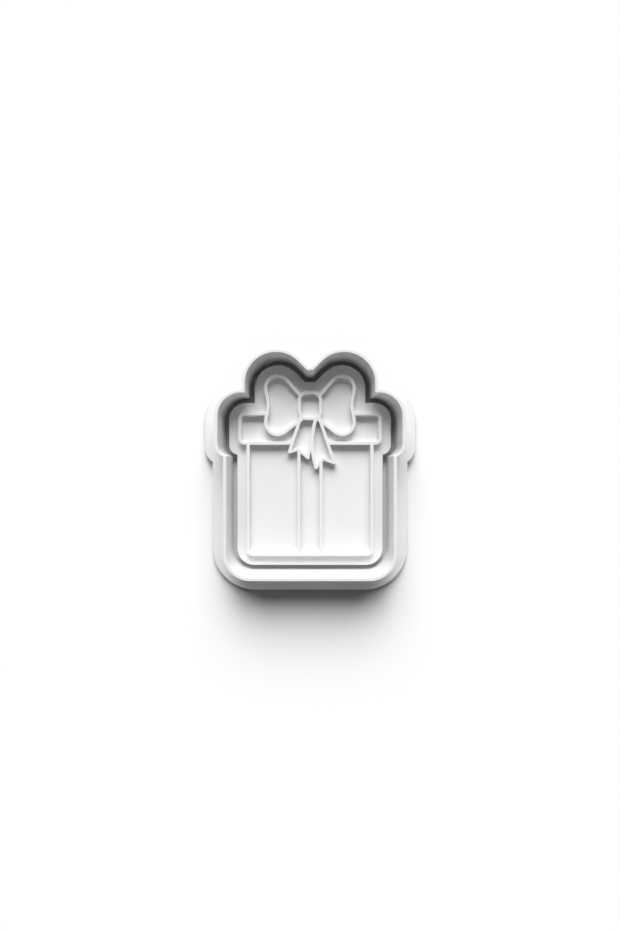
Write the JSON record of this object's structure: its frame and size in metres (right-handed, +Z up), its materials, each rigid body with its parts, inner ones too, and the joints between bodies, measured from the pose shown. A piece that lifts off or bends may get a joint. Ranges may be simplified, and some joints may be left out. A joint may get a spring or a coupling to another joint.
{
  "type": "cookie cutter with stamp",
  "caption": "Gift-box shaped cookie cutter with a thin upright blade on a flat flange, around a loose flat stamp whose raised lines print the box, lid, ribbon and bow.",
  "frame": {"origin": "on the table, under the middle of the cutter's flange", "axes": "+Z up from the table to the cutting edge, +Y from the foot of the gift box to the top of its bow, +X across it"},
  "size_m": [0.0778, 0.0916, 0.013],
  "materials": {
    "cutter_plastic": "matte white, printed",
    "stamp_plastic": "matte white, printed"
  },
  "bodies": {
    "cutter": {"cutter": "cutter_plastic"},
    "stamp": {"stamp": "stamp_plastic"}
  },
  "joints": [
    {"name": "stamp_lift", "type": "slide", "parent": "cutter", "child": "stamp", "axis": [0, 0, 1], "range_m": [0, 0.03]}
  ]
}
